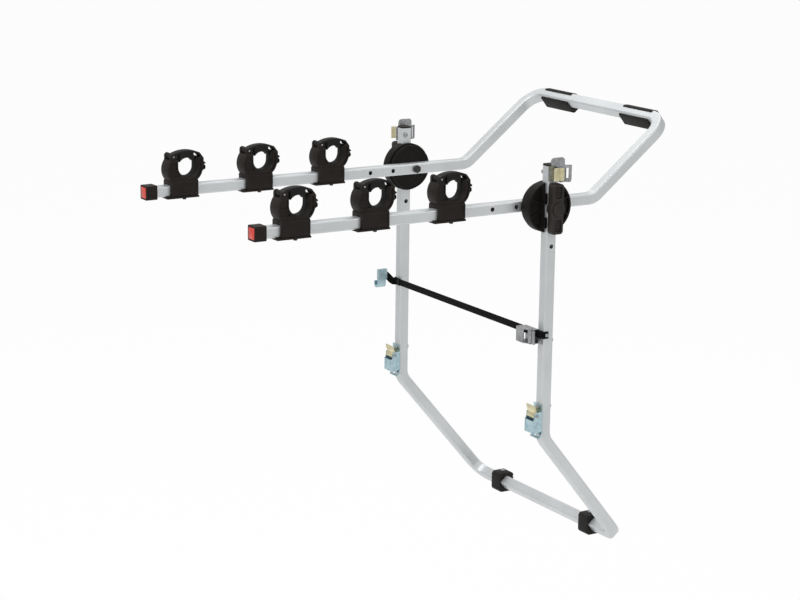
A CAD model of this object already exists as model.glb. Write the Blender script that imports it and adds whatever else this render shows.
# Trunk mounted bike rack: two carrying arms with six cradles that fold on a square-tube frame,
# which leans on a car by four rubber pads and is held there by straps in cam buckles.
import math
import bpy
from mathutils import Matrix, Vector


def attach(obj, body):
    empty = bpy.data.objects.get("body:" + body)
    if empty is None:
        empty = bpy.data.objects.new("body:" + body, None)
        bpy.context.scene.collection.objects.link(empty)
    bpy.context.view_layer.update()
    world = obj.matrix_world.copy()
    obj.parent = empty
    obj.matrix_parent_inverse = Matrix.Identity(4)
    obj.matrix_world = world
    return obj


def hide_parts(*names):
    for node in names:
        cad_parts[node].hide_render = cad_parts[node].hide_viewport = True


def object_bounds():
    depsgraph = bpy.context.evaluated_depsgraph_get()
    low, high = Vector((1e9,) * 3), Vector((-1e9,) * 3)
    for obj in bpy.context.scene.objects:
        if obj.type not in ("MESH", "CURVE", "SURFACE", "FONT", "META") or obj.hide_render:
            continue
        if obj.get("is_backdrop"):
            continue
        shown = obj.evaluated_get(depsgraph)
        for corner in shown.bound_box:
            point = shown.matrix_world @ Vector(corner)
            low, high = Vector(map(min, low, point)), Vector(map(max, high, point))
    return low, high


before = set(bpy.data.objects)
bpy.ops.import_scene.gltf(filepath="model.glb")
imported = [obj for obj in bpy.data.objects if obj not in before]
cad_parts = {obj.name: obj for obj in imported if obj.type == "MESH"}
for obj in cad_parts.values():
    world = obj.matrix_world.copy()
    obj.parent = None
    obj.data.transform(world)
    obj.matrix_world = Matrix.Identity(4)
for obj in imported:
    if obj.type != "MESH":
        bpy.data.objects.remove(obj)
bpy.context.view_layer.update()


# Camera: a long lens standing behind the rack's right-hand corner, a little above the arms,
# turned by under a degree as the photograph was.
bpy.context.scene.view_settings.view_transform = "Standard"
heading, dip, roll = 58.35, 13.21, 0.77
camera_turn = (Matrix.Rotation(math.radians(heading), 3, "Z")
               @ Matrix.Rotation(math.radians(90 - dip), 3, "X")
               @ Matrix.Rotation(math.radians(roll), 3, "Z"))
camera_place = (4.063, -2.695, 0.873)
bpy.ops.object.select_all(action="DESELECT")
bpy.ops.object.camera_add(location=camera_place, rotation=camera_turn.to_euler())
camera = bpy.context.object
camera.data.sensor_width = 36
camera.data.lens = 97.75
camera.data.clip_end = 200
bpy.context.scene.camera = camera


# Frame and carrier tubes: 25 mm square steel tube with rounded corners, cold bent, coated in a
# light silver powder coat that is a little grainy and shows faint flow marks.
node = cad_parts
mm = 0.001


def add_node(tree, kind, place=(0, 0), **settings):
    made = tree.nodes.new(kind)
    made.location = place
    for key, value in settings.items():
        setattr(made, key, value)
    return made


def new_group(name, takes, gives):
    """A shader node group with its sockets, and its input and output nodes."""
    group = bpy.data.node_groups.new(name, "ShaderNodeTree")
    for socket, kind, value in takes:
        made = group.interface.new_socket(socket, in_out="INPUT", socket_type=kind)
        made.default_value = value
    for socket, kind in gives:
        group.interface.new_socket(socket, in_out="OUTPUT", socket_type=kind)
    taken = add_node(group, "NodeGroupInput", (-800, 0))
    return group, taken, add_node(group, "NodeGroupOutput", (600, 0))


def link(tree, *pairs):
    for source, target in pairs:
        tree.links.new(source, target)


grain, g_in, g_out = new_group("moulded_grain", [("Scale", "NodeSocketFloat", 900.0)],
                               [("Height", "NodeSocketFloat")])
place = add_node(grain, "ShaderNodeTexCoord", (-600, -200))
speck = add_node(grain, "ShaderNodeTexNoise", (-300, 0))
speck.inputs["Detail"].default_value = 3
speck.inputs["Roughness"].default_value = 0.6
link(grain, (place.outputs["Object"], speck.inputs["Vector"]),
     (g_in.outputs["Scale"], speck.inputs["Scale"]),
     (speck.outputs["Fac"], g_out.inputs["Height"]))

tone, t_in, t_out = new_group("tone_shift", [
    ("Base", "NodeSocketColor", (0.5, 0.5, 0.5, 1)),
    ("Shift", "NodeSocketColor", (0.6, 0.6, 0.6, 1)),
    ("Scale", "NodeSocketFloat", 12.0)], [("Color", "NodeSocketColor")])
place = add_node(tone, "ShaderNodeTexCoord", (-600, -200))
cloud = add_node(tone, "ShaderNodeTexNoise", (-400, 0))
cloud.inputs["Detail"].default_value = 4
spread = add_node(tone, "ShaderNodeMapRange", (-100, 0))
spread.inputs["From Min"].default_value = 0.35
spread.inputs["From Max"].default_value = 0.65
blend = add_node(tone, "ShaderNodeMix", (200, 0), data_type="RGBA")
link(tone, (place.outputs["Object"], cloud.inputs["Vector"]),
     (t_in.outputs["Scale"], cloud.inputs["Scale"]),
     (cloud.outputs["Fac"], spread.inputs["Value"]),
     (spread.outputs["Result"], blend.inputs["Factor"]),
     (t_in.outputs["Base"], blend.inputs["A"]),
     (t_in.outputs["Shift"], blend.inputs["B"]),
     (blend.outputs["Result"], t_out.inputs["Color"]))

rubbed, r_in, r_out = new_group("rubbed_edges", [
    ("Radius", "NodeSocketFloat", 0.001), ("Scale", "NodeSocketFloat", 150.0)],
    [("Mask", "NodeSocketFloat")])
rim = add_node(rubbed, "ShaderNodeBevel", (-500, 0), samples=4)
flat = add_node(rubbed, "ShaderNodeNewGeometry", (-500, -250))
match = add_node(rubbed, "ShaderNodeVectorMath", (-300, 0), operation="DOT_PRODUCT")
edge = add_node(rubbed, "ShaderNodeMapRange", (-100, 0))
edge.inputs["From Min"].default_value = 0.995
edge.inputs["From Max"].default_value = 0.86
place = add_node(rubbed, "ShaderNodeTexCoord", (-700, -450))
patchy = add_node(rubbed, "ShaderNodeTexNoise", (-300, -450))
patchy.inputs["Detail"].default_value = 4
worn = add_node(rubbed, "ShaderNodeMapRange", (-100, -450))
worn.inputs["From Min"].default_value = 0.38
worn.inputs["From Max"].default_value = 0.62
both = add_node(rubbed, "ShaderNodeMath", (200, 0), operation="MULTIPLY")
link(rubbed, (r_in.outputs["Radius"], rim.inputs["Radius"]),
     (rim.outputs["Normal"], match.inputs[0]),
     (flat.outputs["Normal"], match.inputs[1]),
     (match.outputs["Value"], edge.inputs["Value"]),
     (place.outputs["Object"], patchy.inputs["Vector"]),
     (r_in.outputs["Scale"], patchy.inputs["Scale"]),
     (patchy.outputs["Fac"], worn.inputs["Value"]),
     (edge.outputs["Result"], both.inputs[0]),
     (worn.outputs["Result"], both.inputs[1]),
     (both.outputs["Value"], r_out.inputs["Mask"]))


def finish_of(name, base, shift, tone_scale, grain_scale, bump, rough, rough_shift,
              metal=0.0, specular=0.5, coat=0.0, edge_colour=None):
    """A finish with a cloudy shift of tone, a fine grain and, where asked for, rubbed edges."""
    made = bpy.data.materials.new(name)
    made.use_nodes = True
    tree = made.node_tree
    shader = tree.nodes["Principled BSDF"]
    shader.inputs["Metallic"].default_value = metal
    shader.inputs["Specular IOR Level"].default_value = specular
    shader.inputs["Coat Weight"].default_value = coat
    clouds = add_node(tree, "ShaderNodeGroup", (-700, 200), node_tree=tone)
    clouds.inputs["Base"].default_value = (*base, 1)
    clouds.inputs["Shift"].default_value = (*shift, 1)
    clouds.inputs["Scale"].default_value = tone_scale
    specks = add_node(tree, "ShaderNodeGroup", (-700, -300), node_tree=grain)
    specks.inputs["Scale"].default_value = grain_scale
    raised = add_node(tree, "ShaderNodeBump", (-300, -300))
    raised.inputs["Strength"].default_value = bump
    raised.inputs["Distance"].default_value = 0.4 * mm
    gloss = add_node(tree, "ShaderNodeMapRange", (-400, 0))
    gloss.inputs["To Min"].default_value = rough
    gloss.inputs["To Max"].default_value = rough + rough_shift
    link(tree, (specks.outputs["Height"], raised.inputs["Height"]),
         (raised.outputs["Normal"], shader.inputs["Normal"]),
         (specks.outputs["Height"], gloss.inputs["Value"]),
         (gloss.outputs["Result"], shader.inputs["Roughness"]))
    if edge_colour:
        edges = add_node(tree, "ShaderNodeGroup", (-700, 500), node_tree=rubbed)
        over = add_node(tree, "ShaderNodeMix", (-300, 300), data_type="RGBA")
        over.inputs["B"].default_value = (*edge_colour, 1)
        link(tree, (edges.outputs["Mask"], over.inputs["Factor"]),
             (clouds.outputs["Color"], over.inputs["A"]),
             (over.outputs["Result"], shader.inputs["Base Color"]))
    else:
        link(tree, (clouds.outputs["Color"], shader.inputs["Base Color"]))
    return made


silver_coat = finish_of("silver_powder_coat", (0.60, 0.62, 0.63), (0.66, 0.68, 0.69),
                        tone_scale=9, grain_scale=1400, bump=0.05, rough=0.40, rough_shift=0.08,
                        metal=0.72)
for name in ("lower_frame_tube", "carrier_tube"):
    for slot in node[name].material_slots:
        slot.material = silver_coat


# Plugs in the open tops of the uprights: black moulded plastic with a thin flange on the tube's
# end, pressed in by hand.
black_plastic = finish_of("black_moulded_plastic", (0.0078, 0.0050, 0.0036),
                          (0.0122, 0.0085, 0.0065), tone_scale=25, grain_scale=1800, bump=0.35,
                          rough=0.42, rough_shift=0.2, specular=0.2,
                          edge_colour=(0.036, 0.030, 0.026))


def only(piece):
    bpy.ops.object.select_all(action="DESELECT")
    piece.select_set(True)
    bpy.context.view_layer.objects.active = piece


def edit_all(piece):
    """Goes to edit mode with the whole of a piece selected."""
    only(piece)
    bpy.ops.object.mode_set(mode="EDIT")
    bpy.ops.mesh.select_all(action="SELECT")


def face_outwards(piece):
    edit_all(piece)
    bpy.ops.mesh.normals_make_consistent(inside=False)
    bpy.ops.object.mode_set(mode="OBJECT")


def merge_flat(piece, near, angle):
    """Merges points nearer than a distance in mm, and faces that lie flat to within an angle."""
    edit_all(piece)
    bpy.ops.mesh.remove_doubles(threshold=near * mm)
    bpy.ops.mesh.dissolve_limited(angle_limit=math.radians(angle))
    bpy.ops.object.mode_set(mode="OBJECT")


def smooth(piece):
    """Shades a piece smooth, apart from its sharp edges."""
    only(piece)
    bpy.ops.object.shade_smooth_by_angle(angle=math.radians(40))


def rounded(piece, width, steps=3, angle=30):
    """Rounds the sharp edges of a piece, by a width in mm, clears slivers and shades it smooth."""
    only(piece)
    made = piece.modifiers.new("rounding", "BEVEL")
    made.width = width * mm
    made.segments = steps
    made.limit_method = "ANGLE"
    made.angle_limit = math.radians(angle)
    made.use_clamp_overlap = True
    bpy.ops.object.modifier_apply(modifier=made.name)
    edit_all(piece)
    bpy.ops.mesh.dissolve_degenerate(threshold=0.02 * mm)
    bpy.ops.object.mode_set(mode="OBJECT")
    smooth(piece)


def arc(r, start, end, n, a=0.0, b=0.0):
    """Points on an arc round (a, b), from one angle to another."""
    turns = [math.radians(start + (end - start) * k / n) for k in range(n + 1)]
    return [(a + r * math.cos(t), b + r * math.sin(t)) for t in turns]


def circle(r, points, a=0.0, b=0.0):
    """Points all round a circle about (a, b)."""
    return arc(r, 0, 360 - 360 / points, points - 1, a, b)


def rounded_square(wide, high, r, a=0.0, b=0.0, steps=4):
    """Points round a rectangle with rounded corners, its middle at (a, b)."""
    points = []
    for side, up, start in ((1, 1, 0), (-1, 1, 90), (-1, -1, 180), (1, -1, 270)):
        points += arc(r, start, start + 90, steps,
                      a + side * (wide / 2 - r), b + up * (high / 2 - r))
    return points


def drawn(name, outline, start, end, axis="X"):
    """A filled outline, in mm across the axis, extruded along it from start to end."""
    bpy.ops.object.select_all(action="DESELECT")
    bpy.ops.mesh.primitive_circle_add(vertices=len(outline), fill_type="NGON")
    piece = bpy.context.object
    piece.name = piece.data.name = name
    for corner, (a, b) in zip(piece.data.vertices, outline):
        spot = {"X": (start, a, b), "Y": (a, start, b), "Z": (a, b, start)}[axis]
        corner.co = Vector(spot) * mm
    along = (end - start) * mm
    edit_all(piece)
    bpy.ops.mesh.extrude_region_move(TRANSFORM_OT_translate={
        "value": {"X": (along, 0, 0), "Y": (0, along, 0), "Z": (0, 0, along)}[axis]})
    bpy.ops.object.mode_set(mode="OBJECT")
    face_outwards(piece)
    return piece


def sunk_panel(piece, test, border, depth):
    """Insets the faces that pass a test, and sinks or, by a negative depth, raises their inside."""
    only(piece)
    bpy.ops.object.mode_set(mode="EDIT")
    bpy.ops.mesh.select_mode(type="FACE")
    bpy.ops.mesh.select_all(action="DESELECT")
    bpy.ops.object.mode_set(mode="OBJECT")
    for face in piece.data.polygons:
        face.select = test(face)
    bpy.ops.object.mode_set(mode="EDIT")
    bpy.ops.mesh.inset(thickness=border * mm, depth=0, use_even_offset=True)
    slope = abs(depth) * 0.4
    bpy.ops.mesh.inset(thickness=slope * mm, depth=-depth * mm, use_even_offset=True)
    bpy.ops.object.mode_set(mode="OBJECT")


def fuse(piece, other, how="UNION"):
    """Joins another piece to this one, or cuts it away, and removes it."""
    only(piece)
    made = piece.modifiers.new("joint", "BOOLEAN")
    made.operation = how
    made.solver = "EXACT"
    made.object = other
    bpy.ops.object.modifier_apply(modifier=made.name)
    bpy.data.objects.remove(other)
    merge_flat(piece, 0.02, 0.5)


def cut(piece, outline, start, end, axis="X"):
    fuse(piece, drawn("cutter", outline, start, end, axis), "DIFFERENCE")


def placed_copy(piece, name, place=None, mirror=False):
    """A copy with its own mesh, put in its place, or mirrored across the rack's middle plane."""
    only(piece)
    bpy.ops.object.duplicate()
    made = bpy.context.object
    made.name = made.data.name = name
    if place is not None:
        made.data.transform(place)
    if mirror:
        made.data.transform(Matrix.Scale(-1, 4, (1, 0, 0)))
        face_outwards(made)
    return made


def settle(piece, body, slot, finish, *nodes):
    """Gives a piece its finish, its body and the CAD nodes that it stands for."""
    piece.data.materials.clear()
    piece.data.materials.append(finish)
    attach(piece, body)
    if nodes:
        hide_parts(*nodes)


def settle_pair(right, body, slot, finish, stands_for):
    """Settles a right-hand piece and its mirror image; braces in the names stand for the side."""
    settle(right, body.format("r"), slot, finish, stands_for.format("r"))
    left = placed_copy(right, right.name[:-1] + "l", mirror=True)
    settle(left, body.format("l"), slot, finish, stands_for.format("l"))


upright_x = 300
tube_side, tube_corner = 25, 4
stem_side, stem_corner = 20.8, 3
stem_foot, flange_low, stem_top, flange_top = 82, 91.1, 91.5, 95
plug = drawn("plug_top_r", rounded_square(tube_side, tube_side, tube_corner, upright_x),
             flange_low, flange_top, "Z")
sunk_panel(plug, lambda f: f.normal.z > 0.9, border=3, depth=0.5)
fuse(plug, drawn("stem", rounded_square(stem_side, stem_side, stem_corner, upright_x),
                 stem_foot, stem_top, "Z"))
rounded(plug, 0.9)
settle_pair(plug, "lower_frame", "black_plastic", black_plastic, "upright_plug_{}")


# Hinge discs: a pair of thick moulded nylon discs at each side, one bolted flat to the arm and a
# larger one with a channel for the upright, ribbed pockets and four lugs beside the tube.
disc_nylon = finish_of("hinge_nylon", (0.0038, 0.0028, 0.0023), (0.0068, 0.0053, 0.0045),
                       tone_scale=25, grain_scale=1800, bump=0.35, rough=0.45, rough_shift=0.2,
                       specular=0.17, edge_colour=(0.026, 0.021, 0.018))
arm_disc_r, frame_disc_r, bolt_hole_r = 52, 56, 5.2
arm_disc_from, arm_disc_to, frame_disc_from, frame_disc_to = 268.6, 278.1, 278.6, 302.5
disc = drawn("arm_disc_moulded_r", circle(arm_disc_r, 96), arm_disc_from, arm_disc_to)
sunk_panel(disc, lambda f: f.normal.x < -0.9, border=4, depth=1.2)
sunk_panel(disc, lambda f: f.normal.x < -0.9 and f.center.y ** 2 + f.center.z ** 2 < 1e-6,
           border=20, depth=-1.2)
cut(disc, circle(bolt_hole_r, 32), 260, 290)
rounded(disc, 1.4)
settle_pair(disc, "carrier", "black_plastic", disc_nylon, "arm_disc_{}")

seat_half, seat_floor, past_rim = 12.6, 287.4, 60
pocket_r, pocket_y, pocket_floor = 51, 22.5, 297.5
cheek = drawn("frame_disc_moulded_r", circle(frame_disc_r, 96), frame_disc_from, frame_disc_to)
cut(cheek, [(-seat_half, -past_rim), (seat_half, -past_rim),
            (seat_half, past_rim), (-seat_half, past_rim)], seat_floor, 320)
for side in (1, -1):
    for low, high in ((-60, -24), (-20, 20), (24, 60)):
        fan = arc(pocket_r, low, high, 10)
        fan += [(pocket_y, pocket_y * math.tan(math.radians(turn))) for turn in (high, low)]
        cut(cheek, [(side * y, z) for y, z in fan], pocket_floor, 310)
for y in (-16.1, 16.1):
    for z in (-32, 21):
        fuse(cheek, drawn("lug", rounded_square(7, 24, 2, y, z), 290, 311.5))
cut(cheek, circle(bolt_hole_r, 32), 270, 290)
rounded(cheek, 1.2)
settle_pair(cheek, "lower_frame", "black_plastic", disc_nylon, "frame_disc_{}")


# Hinge bolts and washers: blackened M10 bolts, one through each pair of discs with its hexagon head
# on the arm's inner side, and a bright zinc washer on each under the knob.
zinc_plate = finish_of("zinc_plate", (0.30, 0.31, 0.32), (0.44, 0.45, 0.46), tone_scale=160,
                       grain_scale=2200, bump=0.2, rough=0.24, rough_shift=0.2, metal=0.9)
black_steel = finish_of("blackened_steel", (0.030, 0.029, 0.028), (0.05, 0.049, 0.047),
                        tone_scale=90, grain_scale=2000, bump=0.3, rough=0.35, rough_shift=0.2,
                        metal=0.6, edge_colour=(0.16, 0.16, 0.16))


def settle_small(source, name, width, body, slot, finish):
    """Settles a copy of a small CAD piece, merged to whole faces and rounded along its edges."""
    made = bpy.data.objects.new(name, node[source].data.copy())
    made.data.name = name
    bpy.context.collection.objects.link(made)
    merge_flat(made, 0.005, 1)
    rounded(made, width, steps=2)
    settle(made, body, slot, finish, source)


settle_small("hub_bolts", "hinge_bolts", 0.6, "lower_frame", "black_steel", black_steel)
settle_small("hub_washers", "hinge_washers", 0.3, "lower_frame", "zinc_steel", zinc_plate)


# Wing knobs: a dark grey moulded hand knob at each side, on the hinge bolt's end, with two
# hollowed wings and a round boss over the nut.
knob_plastic = finish_of("knob_plastic", (0.015, 0.0118, 0.0098), (0.022, 0.0178, 0.0152),
                         tone_scale=30, grain_scale=1700, bump=0.35, rough=0.42, rough_shift=0.2,
                         specular=0.28, edge_colour=(0.062, 0.054, 0.048))
knob_wide, knob_long, knob_corner = 29, 110, 7
knob_back, knob_face, wing_floor = 314.5, 334.5, 331
hub_r, boss_r, nut_r = 18, 14, 5.5
knob = drawn("wing_knob_r", rounded_square(knob_wide, knob_long, knob_corner, steps=6),
             knob_back, knob_face)
fuse(knob, drawn("hub", circle(hub_r, 48), knob_back, knob_face))
rounded(knob, 2.4)
for side in (1, -1):
    cut(knob, rounded_square(19, 26, 5, 0, side * 36.5, 5), wing_floor, 340)
    for z in (28.5, 33.8, 39.2, 44.5):
        fuse(knob, drawn("grip", rounded_square(20, 1.6, 0.6, 0, side * z, 2), 330, 333.4))
boss = drawn("boss", circle(boss_r, 48), 325, 338.5)
sunk_panel(boss, lambda f: f.normal.x > 0.9, border=3, depth=0.8)
rounded(boss, 1.2)
fuse(knob, boss)
cut(knob, circle(nut_r, 24), 310, 330.5)
smooth(knob)
settle_pair(knob, "knob_{}", "black_plastic", knob_plastic, "knob_{}")


# Cradle saddles: six moulded nylon cradles, each a U on a sleeve round the arm, with a broad outer
# limb that carries two lugs for the strap's pin; hollowed between its ribs as such mouldings are.
arm_x = 256
tube_bore = 25.2
cradle_half, rise, channel_r, lining_seat_r = 18, 51, 20, 23.5
limb_y, limb_z, limb_r = -13, 45.5, 37
hollow_out_r, hollow_in_r = 33.5, 27
pin_y, pin_z = -36, 76.93
button_z = 46.5
cradle_u = ([(-40, 10.57), (20, 10.57), (20, 21)] + arc(36, -53, 0, 13, 0, rise)
            + [(36, 66.78), (31.92, 72), (lining_seat_r, 72)]
            + arc(lining_seat_r, 0, -180, 36, 0, rise) + [(-lining_seat_r, 69.23)]
            + arc(limb_r, 140.1, 222, 16, limb_y, limb_z))
saddle = drawn("saddle_shell", cradle_u, -cradle_half, cradle_half)
hollows = ([(-hollow_in_r, 65.2)] + arc(hollow_out_r, 144, 177.1, 7, limb_y, limb_z)
           + arc(hollow_in_r, 188, 180, 3, 0, rise),
           arc(hollow_out_r, 181.2, 207.6, 6, limb_y, limb_z)
           + arc(hollow_in_r, 225, 193.3, 8, 0, rise),
           [(hollow_in_r, 53), (33, 53), (33, 65.5), (30.5, 68.7), (hollow_in_r, 68.7)],
           arc(33, -45, 0, 8, 0, rise) + arc(hollow_in_r, 0, -45, 8, 0, rise))
for outline in hollows:
    for x in (-20, 15.5):
        cut(saddle, outline, x, x + 4.5)
sleeve = drawn("sleeve", rounded_square(41.2, 35, 3, 0, 4.9), -43, 23, "Y")
for x in (-22, 19.4):
    cut(sleeve, rounded_square(58, 21, 2, -10, 6.5), x, x + 2.6)
fuse(saddle, sleeve)
cut(saddle, rounded_square(tube_bore, tube_bore, tube_corner), -60, 60, "Y")
cut(saddle, rounded_square(8, 8, 3.9, 0, button_z), 15, 60, "Y")


def flare(piece):
    """Opens both ends of a cradle's channel like a trumpet's mouth, for tubes that slope."""
    widening = 1.3025
    opening = arc(channel_r, 180, 360, 36, 0, rise) + [(channel_r, 82), (-channel_r, 82)]
    for side in (1, -1):
        mouth = drawn("mouth", opening, side * 8, side * 19)
        for corner in mouth.data.vertices:
            if abs(corner.co.x) > 15 * mm:
                corner.co.y *= widening
                corner.co.z = rise * mm + (corner.co.z - rise * mm) * widening
        fuse(piece, mouth, "DIFFERENCE")


flare(saddle)
for x in (-cradle_half, 10.4):
    fuse(saddle, drawn("lug", [(-42.5, 63.5), (-30, 63.5), (-30, pin_z)]
                       + arc(6.5, 20, 180, 16, pin_y, pin_z), x, x + 7.6))
rounded(saddle, 0.9, steps=2)
cradle_spots = [(f"{s}{k}", Matrix.Translation(Vector((x, y, 0)) * mm))
                for s, x in (("r", arm_x), ("l", -arm_x))
                for k, y in ((1, -600), (2, -412), (3, -224))]


def settle_six(pattern, body, slot, finish, stands_for):
    """Settles a copy of a piece in each cradle; braces in the names stand for the cradle."""
    for spot, place in cradle_spots:
        made = placed_copy(pattern, f"{pattern.name}_{spot}", place)
        settle(made, body.format(spot), slot, finish, stands_for.format(spot))
    bpy.data.objects.remove(pattern)


settle_six(saddle, "carrier", "black_plastic", black_plastic, "saddle_{}")


# Saddle liners: soft black rubber U linings with fine ribs across them, pushed into the saddles
# and flared with them.
soft_rubber = finish_of("soft_black_rubber", (0.0050, 0.0042, 0.0037), (0.0088, 0.0076, 0.0068),
                        tone_scale=40, grain_scale=1200, bump=0.5, rough=0.5, rough_shift=0.25,
                        specular=0.24)


def ribbed(first_r, second_r, angles, a, b):
    """Points on an arc round (a, b) that step between two radii, as fine ribs do."""
    return [arc(second_r if k % 2 else first_r, turn, turn, 1, a, b)[0]
            for k, turn in enumerate(angles)]


liner_r, liner_top = 23.4, 69.2
ribs = ribbed(20.7, channel_r, [-4 * k for k in range(46)], 0, rise)
liner_u = ([(liner_r, rise), (liner_r, liner_top), (channel_r, liner_top)] + ribs
           + [(-channel_r, liner_top), (-liner_r, liner_top), (-liner_r, rise)]
           + arc(liner_r, -180, 0, 36, 0, rise)[1:-1])
liner = drawn("liner_rubber", liner_u, -cradle_half, cradle_half)
flare(liner)
rounded(liner, 0.3, steps=2, angle=50)
settle_six(liner, "carrier", "black_rubber", soft_rubber, "liner_{}")


# Cradle straps: moulded rubber bands hinged on a steel pin at the outer limb, laid over the
# bicycle's tube and hooked by a slot over a button on the inner limb, with a thumb tab to pull
# and gripping ribs inside.
strap_half, band_z = 10, 10
under = ribbed(74.2, 73.5, [67.03 + 51.2 * n / 30 for n in range(31)], 0, band_z)
thumb_tab = [(41.8, 69), (41.8, 61.5), (46.0, 58.2), (46.3, 57.4), (46.2, 55.7), (41.8, 54)]
slot_end = [(41.8, 42.5), (40.6, 41), (38.0, 41), (36.8, 42.5), (36.8, 67.28)]
band = arc(78.5, 118.28, 66.08, 24, 0, band_z) + thumb_tab + slot_end + under
strap = drawn("strap_band", band, -strap_half, strap_half)
grips = ribbed(21.2, 20.5, [33.98 + 112.04 * n / 22 for n in range(23)], 0, rise)
fuse(strap, drawn("cushion", grips + arc(76, 102.93, 77.07, 12, 0, band_z),
                  -strap_half, strap_half))
fuse(strap, drawn("knuckle", circle(5.7, 32, pin_y, pin_z), -strap_half, strap_half))
button_slot = ([(-3.5, 39), (3.5, 39), (3.5, button_z)] + arc(3.5, 20, 160, 6, 0, button_z)
               + [(-3.5, button_z)])
cut(strap, button_slot, 30, 43.5, "Y")
cut(strap, circle(2.2, 20, pin_y, pin_z), -20, 20)
rounded(strap, 0.6, steps=2, angle=40)
settle_six(strap, "strap_{}", "black_rubber", soft_rubber, "strap_{}")


# Small cradle hardware: plates under the arms that clamp the saddles, with their screws, the
# straps' steel pins and the mushroom buttons that the straps hook over.
settle_small("clamp_plates", "sleeve_plates", 0.9, "carrier", "black_plastic", black_plastic)
settle_small("strap_buttons", "mushroom_buttons", 0.9, "carrier", "black_plastic", black_plastic)
settle_small("clamp_screws", "plate_screws", 0.4, "carrier", "black_steel", black_steel)
settle_small("strap_pins", "hinge_pins", 0.5, "carrier", "zinc_steel", zinc_plate)


# End caps: square moulded caps of black plastic, pushed over the arms' rear ends, with a shallow
# pocket for a reflector.
cap_side, cap_back, cap_front = 32, -702, -675
lens_pocket, pocket_bottom = 24.6, -699.5
cap = drawn("end_cap_moulded_r", rounded_square(cap_side, cap_side, 3, arm_x),
            cap_back, cap_front, "Y")
cut(cap, rounded_square(lens_pocket, lens_pocket, 2.3, arm_x), -710, pocket_bottom, "Y")
cut(cap, rounded_square(tube_bore, tube_bore, tube_corner, arm_x), -696, -660, "Y")
rounded(cap, 1)
settle_pair(cap, "carrier", "black_plastic", black_plastic, "end_cap_{}")


# Reflectors: square red acrylic reflectors with rows of small prisms on their faces, glued into
# the end caps.
reflector_red = finish_of("red_acrylic", (0.50, 0.020, 0.010), (0.64, 0.045, 0.022),
                          tone_scale=220, grain_scale=900, bump=0.1, rough=0.16, rough_shift=0.1,
                          coat=0.2)
lens_side, prism_pitch, prism_y = 24, 4.2, -702.15
lens = drawn("reflector_lens_r", rounded_square(lens_side, lens_side, 2, arm_x),
             pocket_bottom, -702.2, "Y")
rounded(lens, 0.4, steps=2)
prism_turn = Matrix.Rotation(math.radians(45), 4, "Y") @ Matrix.Rotation(math.radians(90), 4, "X")
for row in range(5):
    for col in range(5):
        x, z = arm_x + (col - 2) * prism_pitch, (row - 2) * prism_pitch
        bpy.ops.object.select_all(action="DESELECT")
        bpy.ops.mesh.primitive_cone_add(vertices=4, radius1=2.9 * mm, depth=0.7 * mm)
        prism = bpy.context.object
        prism.data.transform(Matrix.Translation(Vector((x, prism_y, z)) * mm) @ prism_turn)
        lens.select_set(True)
        bpy.context.view_layer.objects.active = lens
        bpy.ops.object.join()
settle_pair(lens, "carrier", "red_reflector", reflector_red, "reflector_{}")


# Bottom pads: thick blocks of moulded black rubber round the bottom bar, grooved where they rest
# on the bumper, each held by a plated bolt through the bar.
pad_rubber = finish_of("pad_rubber", (0.0055, 0.0045, 0.0040), (0.0095, 0.0080, 0.0072),
                       tone_scale=35, grain_scale=1000, bump=0.5, rough=0.5, rough_shift=0.25,
                       specular=0.26, edge_colour=(0.028, 0.024, 0.022))
bar_y, bar_z, bar_turn = 227.3, -790.9, math.radians(40)
pad_x, pad_front = 182, 248.3
pad = drawn("low_pad_block_r", rounded_square(42, 48, 9, bar_y, bar_z, 8), 165, 199)
for z in (-803.4, -794.9, -786.9, -778.4):
    cut(pad, rounded_square(4, 2.4, 0.9, pad_front, z, 2), 150, 210)
turned = [(y * math.cos(bar_turn) - z * math.sin(bar_turn) + bar_y,
           y * math.sin(bar_turn) + z * math.cos(bar_turn) + bar_z)
          for y, z in rounded_square(tube_bore, tube_bore, tube_corner)]
cut(pad, turned, 150, 210)
cut(pad, circle(3.2, 20, pad_x, bar_y), -830, -750, "Z")
rounded(pad, 1.2, angle=40)
settle_pair(pad, "lower_frame", "black_rubber", pad_rubber, "low_pad_{}")
settle_small("low_pad_bolts", "pad_bolts", 0.6, "lower_frame", "zinc_steel", zinc_plate)


# Top pads: long C-shaped rubber mouldings sprung over the top bar, with cross grooves in the thick
# side that leans on the car's rear door and a thin lip over the bar's upper edge.
pad_half, wall, bend = 53, 12.6, 8.6
pad_c = ([(-16.6, 4), (-16.6, -21.6)] + arc(7, 180, 270, 6, -9.6, -21.6)
         + arc(7, 270, 360, 6, 12.35, -21.35) + [(19.35, 4), (17.35, 7), (wall, 7)]
         + arc(tube_corner, 0, -90, 4, bend, -bend) + arc(tube_corner, -90, -180, 4, -bend, -bend)
         + [(-wall, 7), (-14.6, 7)])
top_pad = drawn("bar_pad_r", pad_c, -pad_half, pad_half)
for x in range(-42, 43, 12):
    cut(top_pad, rounded_square(2.6, 3.6, 1, x, -28.6, 2), -40, 40, "Y")
rounded(top_pad, 1.2, angle=40)
lip = drawn("lip", arc(tube_corner, 0, 90, 6, bend, bend)
            + [(3.5, wall), (3.5, 13.4), (8.2, 14.4), (17.2, 7.2), (17.2, 4), (wall, 4)],
            -pad_half, pad_half)
rounded(lip, 0.35, steps=2)
fuse(top_pad, lip)
smooth(top_pad)
top_pad.data.transform(Matrix.Translation(Vector((155, 346.35, 159.36)) * mm)
                       @ Matrix.Rotation(math.radians(38.5), 4, "X"))
settle_pair(top_pad, "carrier", "black_rubber", pad_rubber, "top_pad_{}")


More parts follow.
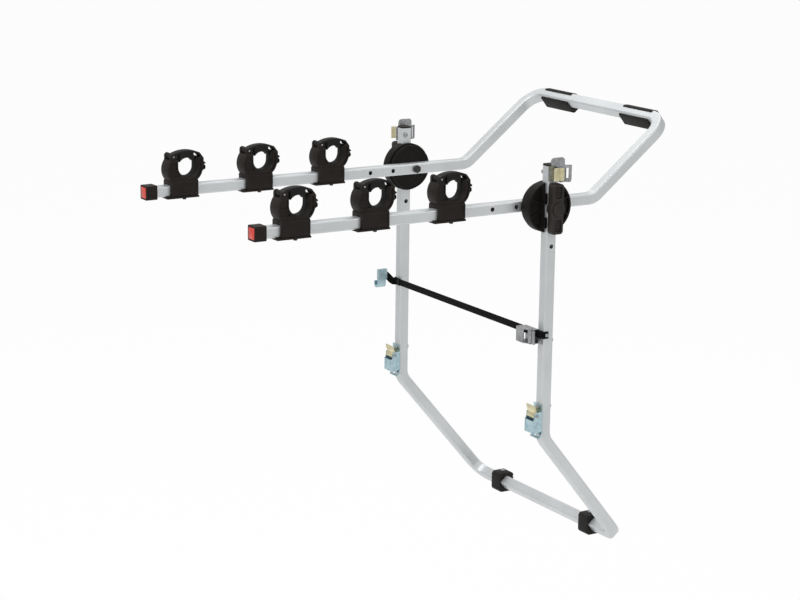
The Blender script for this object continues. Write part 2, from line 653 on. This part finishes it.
# Cam buckles: folded steel plates with two ears, bolted to the uprights, which hold the straps to
# the car; plain zinc at the top and at the cross strap, blue zinc at the elbows.
blue_zinc = finish_of("blue_zinc", (0.36, 0.52, 0.58), (0.52, 0.67, 0.72), tone_scale=120,
                      grain_scale=2200, bump=0.2, rough=0.22, rough_shift=0.2, metal=0.9)
cam_y, cam_z = 10, 14.5


def folded_buckle(name, length, high, lipped, bolt_x):
    """A buckle lying on its back: its strap runs along Y, and its cam's pin stands across it."""
    lip = length - 16
    ear_out, ear_in, bend_x = 16.5, 14.5, 13.7
    fold_out, fold_in, above_plate, past_ear = 2.8, 0.8, 2.01, 20
    folded = ([(-ear_out, high)] + arc(fold_out, 180, 270, 5, -bend_x, fold_out)
              + arc(fold_out, 270, 360, 5, bend_x, fold_out) + [(ear_out, high), (ear_in, high)]
              + arc(fold_in, 0, -90, 3, bend_x, fold_out)
              + arc(fold_in, -90, -180, 3, -bend_x, fold_out) + [(-ear_in, high)])
    made = drawn(name, folded, -14, lip, "Y")
    cut(made, [(-16, above_plate), (1, above_plate), (1, 9), (3, 20.5), (17, high - 3), (20, high),
               (20, high + 2), (-16, high + 2)], -past_ear, past_ear)
    cut(made, [(lip - 2, high + 2), (lip - 2, high), (lip, high - 2), (lip, high - 12),
               (lip - 5, above_plate), (lip + 2, above_plate), (lip + 2, high + 2)],
        -past_ear, past_ear)
    fuse(made, drawn("bar", [(21, high - 2.5), (lip - 1, high - 2.5), (lip - 1, high - 0.5),
                             (21, high - 0.5)], -15, 15))
    if lipped:
        fuse(made, drawn("lip", [(lip - 4, 0), (lip, 0), (lip + 14, 8), (lip + 13, 9.8),
                                 (lip - 0.5, 2), (lip - 4, 2)], -ear_out, ear_out))
        web_slot = drawn("slot", rounded_square(6, 12, 1), -12.5, 12.5)
        web_slot.data.transform(Matrix.Translation(Vector((0, lip + 6, 4.5)) * mm)
                                @ Matrix.Rotation(math.radians(30), 4, "X"))
        fuse(made, web_slot, "DIFFERENCE")
    cut(made, circle(2.6, 24, cam_y, cam_z), -past_ear, past_ear)
    cut(made, circle(3.2, 24, bolt_x, -6), -2, 6, "Z")
    return made


on_top = Matrix(((0, 0, 1, 0.3126), (0, 1, 0, 0), (-1, 0, 0, 0.076), (0, 0, 0, 1)))
at_elbow = Matrix(((-1, 0, 0, 0.3), (0, 0, -1, -0.0126), (0, -1, 0, -0.453), (0, 0, 0, 1)))
at_strap = Matrix(((0, -1, 0, 0.294), (0, 0, -1, -0.0126), (1, 0, 0, -0.288), (0, 0, 0, 1)))
plate_rounding = 0.45

top_plate = folded_buckle("top_plate", 44, 28, True, 0)
tongue = arc(8, 270, 180, 8, -25.5, 0) + arc(8, 180, 90, 8, -25.5, 20) + [(-13, 28), (-13, -8)]
fuse(top_plate, drawn("tongue", tongue, 0, 2, "Z"))
elbow_plate = folded_buckle("elbow_plate", 66, 25, True, 0)
for pattern, where, slot, finish, stands_for in (
        (top_plate, on_top, "zinc_steel", zinc_plate, "top_buckle_{}"),
        (elbow_plate, at_elbow, "blue_zinc", blue_zinc, "elbow_buckle_{}")):
    rounded(pattern, plate_rounding, steps=2)
    for s, mirrored in (("r", False), ("l", True)):
        settle(placed_copy(pattern, f"{pattern.name}_{s}", where, mirrored), "lower_frame", slot,
               finish, stands_for.format(s))
    bpy.data.objects.remove(pattern)

web_plate = folded_buckle("web_plate_r", 66, 28, False, -9)
rounded(web_plate, plate_rounding, steps=2)
web_plate.data.transform(at_strap)
settle(web_plate, "lower_frame", "zinc_steel", zinc_plate, "strap_buckle")


# Cams: zinc castings on the buckles' pins, with teeth that bite the webbing and a ridged thumb
# lever; yellow passivated, and plain at the cross strap.
yellow_zinc = finish_of("yellow_zinc", (0.66, 0.60, 0.36), (0.78, 0.73, 0.50), tone_scale=110,
                        grain_scale=2200, bump=0.2, rough=0.26, rough_shift=0.2, metal=0.85)
lever_half = 13.8
cam = drawn("cam", circle(7.5, 48, cam_y, cam_z), -14, 14)
teeth = [(10, 9.5), (14.6, 5.1), (15.3, 6.0), (15.6, 5.4), (16.3, 6.8), (16.7, 6.5), (17.3, 7.9),
         (17.8, 7.8), (16.5, cam_z)]
fuse(cam, drawn("teeth", teeth, -lever_half, lever_half))
lever = drawn("lever", [(6, 18.5), (5, 12.5), (-12, 19), (-14.4, 22), (-14.6, 23.2), (-12, 24)],
              -lever_half, lever_half)
for y, z in ((-12.0, 23.7), (-9.4, 23.0), (-6.8, 22.2)):
    fuse(lever, drawn("ridge", circle(0.8, 12, y, z), -11, 11))
fuse(cam, lever)
cut(cam, circle(2.55, 24, cam_y, cam_z), -20, 20)
rounded(cam, 0.5, steps=2)
for s, mirrored in (("r", False), ("l", True)):
    for site, where in (("top_cam", on_top), ("elbow_cam", at_elbow)):
        settle(placed_copy(cam, f"{site}_cast_{s}", where, mirrored), f"{site}_{s}", "yellow_zinc",
               yellow_zinc, f"{site}_{s}")
settle(placed_copy(cam, "strap_cam_cast", at_strap), "strap_cam", "zinc_steel", zinc_plate,
       "strap_cam")
bpy.data.objects.remove(cam)
settle_small("cam_pins", "cam_pin_set", 0.35, "lower_frame", "zinc_steel", zinc_plate)
settle_small("buckle_bolts", "buckle_bolt_set", 0.6, "lower_frame", "zinc_steel", zinc_plate)


# Cross strap: black woven webbing stretched level over the uprights' rear faces, its ends turned
# round the corners and riveted, with a short sewn tail that carries a plated hook.
yarn_pitch = 1.1
weave, w_in, w_out = new_group("webbing_weave", [("Pitch", "NodeSocketFloat", yarn_pitch)],
                               [("Height", "NodeSocketFloat")])
place = add_node(weave, "ShaderNodeTexCoord", (-1200, 0))
parts = add_node(weave, "ShaderNodeSeparateXYZ", (-1000, 0))
along = add_node(weave, "ShaderNodeMath", (-800, 100), operation="ADD")
pitch = add_node(weave, "ShaderNodeMath", (-800, -300), operation="DIVIDE")
pitch.inputs[0].default_value = math.pi / mm
link(weave, (place.outputs["Object"], parts.inputs["Vector"]),
     (parts.outputs["X"], along.inputs[0]), (parts.outputs["Y"], along.inputs[1]),
     (w_in.outputs["Pitch"], pitch.inputs[1]))
crossing = add_node(weave, "ShaderNodeMath", (-250, 0), operation="MULTIPLY")
over = add_node(weave, "ShaderNodeMath", (-100, 0), operation="GREATER_THAN")
over.inputs[1].default_value = 0
yarn = add_node(weave, "ShaderNodeMix", (200, 0), data_type="FLOAT")
for k, (source, strand) in enumerate(((along.outputs["Value"], "A"), (parts.outputs["Z"], "B"))):
    scaled = add_node(weave, "ShaderNodeMath", (-600, 100 - 250 * k), operation="MULTIPLY")
    wave = add_node(weave, "ShaderNodeMath", (-450, 100 - 250 * k), operation="SINE")
    hump = add_node(weave, "ShaderNodeMath", (-100, 200 - 500 * k), operation="ABSOLUTE")
    link(weave, (source, scaled.inputs[0]), (pitch.outputs["Value"], scaled.inputs[1]),
         (scaled.outputs["Value"], wave.inputs[0]), (wave.outputs["Value"], hump.inputs[0]),
         (wave.outputs["Value"], crossing.inputs[k]), (hump.outputs["Value"], yarn.inputs[strand]))
link(weave, (crossing.outputs["Value"], over.inputs[0]),
     (over.outputs["Value"], yarn.inputs["Factor"]),
     (yarn.outputs["Result"], w_out.inputs["Height"]))

webbing = bpy.data.materials.new("black_webbing")
webbing.use_nodes = True
tree = webbing.node_tree
shader = tree.nodes["Principled BSDF"]
shader.inputs["Roughness"].default_value = 0.8
shader.inputs["Sheen Weight"].default_value = 0.02
shader.inputs["Specular IOR Level"].default_value = 0.08
cloth = add_node(tree, "ShaderNodeGroup", (-700, 0), node_tree=weave)
cloth.inputs["Pitch"].default_value = yarn_pitch
yarns = add_node(tree, "ShaderNodeMix", (-400, 200), data_type="RGBA")
yarns.inputs["A"].default_value = (0.0010, 0.0010, 0.0011, 1)
yarns.inputs["B"].default_value = (0.0050, 0.0049, 0.0050, 1)
raised = add_node(tree, "ShaderNodeBump", (-400, -200))
raised.inputs["Strength"].default_value = 0.8
raised.inputs["Distance"].default_value = 0.25 * mm
link(tree, (cloth.outputs["Height"], yarns.inputs["Factor"]),
     (yarns.outputs["Result"], shader.inputs["Base Color"]),
     (cloth.outputs["Height"], raised.inputs["Height"]),
     (raised.outputs["Normal"], shader.inputs["Normal"]))


def ribbon(name, spine, thick=1.8, wide=16):
    """A flat band along a line of points, each with the direction of the band's width."""
    bpy.ops.object.select_all(action="DESELECT")
    bpy.ops.mesh.primitive_grid_add(x_subdivisions=len(spine) - 1, y_subdivisions=4, size=2)
    made = bpy.context.object
    made.name = made.data.name = name
    for corner in made.data.vertices:
        point, across = spine[round((corner.co.x + 1) / 2 * (len(spine) - 1))]
        corner.co = (Vector(point) + Vector(across) * corner.co.y * wide / 2) * mm
    solid = made.modifiers.new("thickness", "SOLIDIFY")
    solid.thickness = thick * mm
    solid.offset = 0
    solid.use_even_offset = True
    bpy.ops.object.modifier_apply(modifier=solid.name)
    face_outwards(made)
    rounded(made, 0.5, steps=2, angle=50)
    return made


web_z, web_y, corner_r, corner_x = -282, -15.6, 4.9, 308.6
upwards = (0, 0, 1)
end_turn = ([(313.5, -1.7 - 9 * k / 6) for k in range(6)]
            + arc(corner_r, 0, -90, 8, corner_x, -10.7))
level = [(corner_x - 2 * corner_x * k / 60, web_y) for k in range(1, 60)]
path = end_turn + level + [(-x, y) for x, y in reversed(end_turn)]
web = ribbon("cross_web", [((x, y, web_z), upwards) for x, y in path])
for x in (306, -306):
    cut(web, circle(2.1, 16, -7.2, web_z), x - 12, x + 12)
settle(web, "lower_frame", "black_webbing", webbing, "cross_strap")

tail_x, tail_y, tail_run, tail_rise, rise_run = -300.9, -20.95, 39.5, 22, 32
tail_path = [((-284 - 13.4 * k / 8, -17.45, web_z), upwards) for k in range(8)]
tail_path += [((x, y, web_z), upwards) for x, y in arc(3.5, 90, 180, 8, -297.4, tail_y)]
for k in range(1, 33):
    run = min(1.0, k / 26)
    up = tail_rise * run * run * (3 - 2 * run)
    lean = math.atan2(tail_rise * 6 * run * (1 - run), rise_run)
    tail_path.append(((tail_x, tail_y - tail_run * k / 32, web_z + up),
                      (0, math.sin(lean), math.cos(lean))))
tail = ribbon("web_tail", tail_path)
settle(tail, "lower_frame", "black_webbing", webbing)

thread = finish_of("grey_thread", (0.05, 0.05, 0.052), (0.085, 0.085, 0.088), tone_scale=300,
                   grain_scale=3000, bump=0.4, rough=0.6, rough_shift=0.2)
bpy.ops.object.select_all(action="DESELECT")
bpy.ops.mesh.primitive_uv_sphere_add(segments=8, ring_count=5, radius=1)
stitch = bpy.context.object
stitch.data.transform(Matrix.Diagonal((0.3 * mm, 0.25 * mm, 1.1 * mm, 1)))
quarter = Matrix.Rotation(math.radians(90), 4, "Z")
sewing = [((x, -18.4), Matrix()) for x in (-286, -288, -290, -292, -294)]
sewing += [((side * 314.4, y), quarter) for side in (1, -1) for y in (-4.0, -2.6)]
stitches = []
for (x, y), turn in sewing:
    for z in range(web_z - 6, web_z + 7, 3):
        spot = Matrix.Translation(Vector((x, y, z)) * mm)
        stitches.append(placed_copy(stitch, "stitch", spot @ turn))
bpy.data.objects.remove(stitch)
bpy.ops.object.select_all(action="DESELECT")
for made in stitches:
    made.select_set(True)
bpy.context.view_layer.objects.active = stitches[0]
bpy.ops.object.join()
sewn = bpy.context.object
sewn.name = sewn.data.name = "web_stitches"
bpy.ops.object.shade_smooth()
settle(sewn, "lower_frame", "black_webbing", thread)

settle_small("strap_rivets", "web_rivets", 0.6, "lower_frame", "zinc_steel", zinc_plate)
settle_small("strap_hook", "tail_hook", 0.9, "lower_frame", "blue_zinc", blue_zinc)


# Studio: a wide pale floor below the rack, a large soft lamp high beyond the arms' ends, and weaker
# ones from the right-hand side and from above.
bpy.ops.object.select_all(action="DESELECT")
bpy.ops.mesh.primitive_plane_add(size=120, location=(0, 0, -1.25))
floor = bpy.context.object
floor.name = "floor"
floor_white = bpy.data.materials.new("floor_white")
floor_white.use_nodes = True
tree = floor_white.node_tree
shader = tree.nodes["Principled BSDF"]
shader.inputs["Base Color"].default_value = (0.86, 0.86, 0.86, 1)
shader.inputs["Roughness"].default_value = 0.9
rays = add_node(tree, "ShaderNodeLightPath", (-700, 400))
seen = add_node(tree, "ShaderNodeMath", (-500, 400), operation="MAXIMUM")
share = add_node(tree, "ShaderNodeMath", (-100, 400), operation="MULTIPLY")
share.inputs[1].default_value = 0.95
glow = add_node(tree, "ShaderNodeEmission", (-100, 200))
glow.inputs["Color"].default_value = (1, 1, 1, 1)
mixed = add_node(tree, "ShaderNodeMixShader", (300, 300))
link(tree, (rays.outputs["Is Camera Ray"], seen.inputs[0]),
     (rays.outputs["Is Transmission Ray"], seen.inputs[1]),
     (seen.outputs["Value"], share.inputs[0]), (share.outputs["Value"], mixed.inputs["Fac"]),
     (shader.outputs["BSDF"], mixed.inputs[1]), (glow.outputs["Emission"], mixed.inputs[2]),
     (mixed.outputs["Shader"], tree.nodes["Material Output"].inputs["Surface"]))
floor.data.materials.append(floor_white)
floor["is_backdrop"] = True

sky = bpy.data.worlds.new("studio")
bpy.context.scene.world = sky
sky.use_nodes = True
sky.node_tree.nodes["Background"].inputs["Color"].default_value = (1, 1, 1, 1)
sky.node_tree.nodes["Background"].inputs["Strength"].default_value = 0.6


def soft_lamp(name, place, aim, size, power):
    bpy.ops.object.select_all(action="DESELECT")
    turn = (Vector(aim) - Vector(place)).to_track_quat("-Z", "Y").to_euler()
    bpy.ops.object.light_add(type="AREA", location=place, rotation=turn)
    lamp = bpy.context.object
    lamp.name = name
    lamp.data.shape = "SQUARE"
    lamp.data.size = size
    lamp.data.energy = power


soft_lamp("key_lamp", (0.6, -3.2, 3.0), (0, -0.1, -0.3), size=3.0, power=108)
soft_lamp("side_lamp", (3.6, 1.6, 1.6), (0, 0, -0.3), size=2.0, power=26)
soft_lamp("top_lamp", (-1.2, 0.8, 3.4), (0, 0, -0.3), size=4.0, power=58)

low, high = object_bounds()
